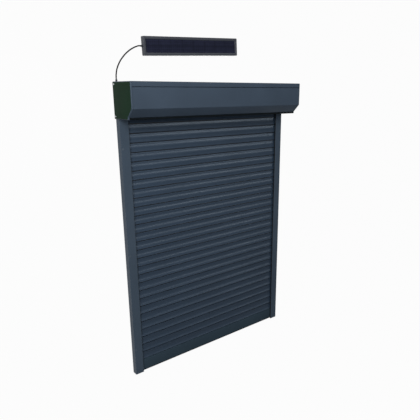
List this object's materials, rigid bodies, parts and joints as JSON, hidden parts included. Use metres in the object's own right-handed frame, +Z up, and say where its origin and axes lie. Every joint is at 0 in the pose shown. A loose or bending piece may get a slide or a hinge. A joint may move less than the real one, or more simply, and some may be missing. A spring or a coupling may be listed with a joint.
{
  "type": "roller shutter",
  "caption": "Exterior roller shutter: bevelled box over two guide rails, hooked-slat curtain with a bottom bar on a motor-driven winding tube, and a small wall solar panel wired to the box.",
  "frame": {"origin": "middle of the rail feet on the wall plane that carries the box and the rails", "axes": "+X to the right seen from outside, +Y into the wall, +Z up; the shutter faces -Y"},
  "size_m": [0.9048, 0.137, 1.4351],
  "materials": {
    "box_coat": "satin anthracite powder coat",
    "underside_coat": "satin black coat",
    "end_cap_coat": "satin dark green-black coat",
    "rail_coat": "satin anthracite powder coat",
    "slat_coat": "satin anthracite coil coat",
    "bar_coat": "satin anthracite powder coat",
    "panel_frame_coat": "satin dark grey coat",
    "cell_glass": "gloss dark glass over cells",
    "black_rubber": "matte",
    "cable_sheath": "matte",
    "dark_plastic": "matte",
    "screw_steel": "satin",
    "galvanised_steel": "satin",
    "spring_steel": "satin",
    "motor_can": "satin"
  },
  "bodies": {
    "frame": {"left_end_cap": "end_cap_coat", "right_end_cap": "end_cap_coat", "box_back_panel": "box_coat", "box_top_panel": "box_coat", "box_front_cover": "box_coat", "box_underside": "underside_coat", "box_screws": "screw_steel", "motor_tube": "motor_can", "motor_head": "dark_plastic", "motor_bracket": "galvanised_steel", "idler_bearing": "galvanised_steel", "battery_pack": "dark_plastic", "hanger_straps": "spring_steel", "slat_end_clips": "dark_plastic", "left_rail": "rail_coat", "right_rail": "rail_coat", "rail_seals": "black_rubber", "rail_inlets": "dark_plastic", "rail_plugs": "dark_plastic", "panel_frame": "panel_frame_coat", "panel_cells": "cell_glass", "panel_brackets": "galvanised_steel", "cable_glands": "dark_plastic", "solar_cable": "cable_sheath", "slat_01": "slat_coat", "slat_02": "slat_coat", "slat_03": "slat_coat", "slat_04": "slat_coat", "slat_05": "slat_coat", "slat_06": "slat_coat", "slat_07": "slat_coat", "slat_08": "slat_coat", "slat_09": "slat_coat", "slat_10": "slat_coat", "slat_11": "slat_coat", "slat_12": "slat_coat", "slat_13": "slat_coat", "slat_14": "slat_coat", "slat_15": "slat_coat", "slat_16": "slat_coat", "slat_17": "slat_coat", "slat_18": "slat_coat", "slat_19": "slat_coat", "slat_20": "slat_coat", "slat_21": "slat_coat", "slat_22": "slat_coat", "slat_23": "slat_coat", "slat_24": "slat_coat", "slat_25": "slat_coat", "slat_26": "slat_coat", "slat_27": "slat_coat", "slat_28": "slat_coat", "slat_29": "slat_coat"},
    "bar": {"bottom_bar": "bar_coat", "bottom_seal": "black_rubber", "bar_stops": "dark_plastic"},
    "tube": {"winding_tube": "galvanised_steel", "limit_crown": "dark_plastic", "drive_wheel": "dark_plastic", "idler_cap": "dark_plastic"}
  },
  "joints": [
    {"name": "curtain_lift", "type": "slide", "parent": "frame", "child": "bar", "axis": [0, 0, 1], "range_m": [0, 1.055], "deforming": ["slat_01", "slat_02", "slat_03", "slat_04", "slat_05", "slat_06", "slat_07", "slat_08", "slat_09", "slat_10", "slat_11", "slat_12", "slat_13", "slat_14", "slat_15", "slat_16", "slat_17", "slat_18", "slat_19", "slat_20", "slat_21", "slat_22", "slat_23", "slat_24", "slat_25", "slat_26", "slat_27", "slat_28", "slat_29", "slat_end_clips", "hanger_straps"]},
    {"name": "tube_spin", "type": "hinge", "parent": "frame", "child": "tube", "pos_m": [0, -0.0685, 1.1815], "axis": [1, 0, 0], "range_deg": [0, 1512]}
  ],
  "couplings": [
    {"joint": "tube_spin", "follows": "curtain_lift", "rad_per_m": 25}
  ]
}
